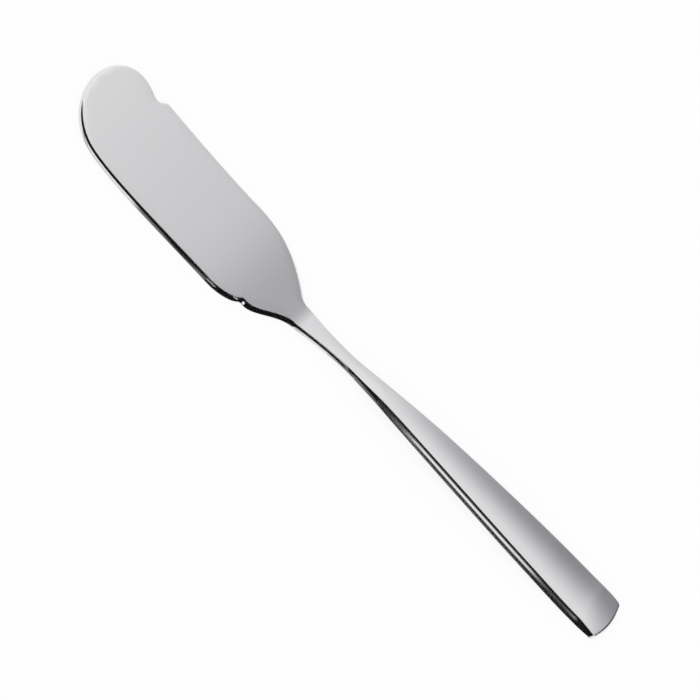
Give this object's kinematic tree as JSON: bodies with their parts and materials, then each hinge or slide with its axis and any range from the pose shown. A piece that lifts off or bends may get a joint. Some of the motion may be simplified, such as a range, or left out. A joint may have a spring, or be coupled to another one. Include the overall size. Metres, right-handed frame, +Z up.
{
  "type": "butter knife",
  "caption": "Solid steel butter knife: a broad flat spreading blade with a notched back, a slim neck and an arched, domed handle that widens to its end.",
  "frame": {"origin": "on the table, under the middle of the knife's bounding box", "axes": "+X from the tip of the blade to the end of the handle, +Y towards the blade's back, +Z up from the table"},
  "size_m": [0.17, 0.0268, 0.0038],
  "materials": {
    "steel": "polished"
  },
  "bodies": {
    "root": {"blade": "steel", "neck": "steel", "handle": "steel"}
  },
  "joints": []
}
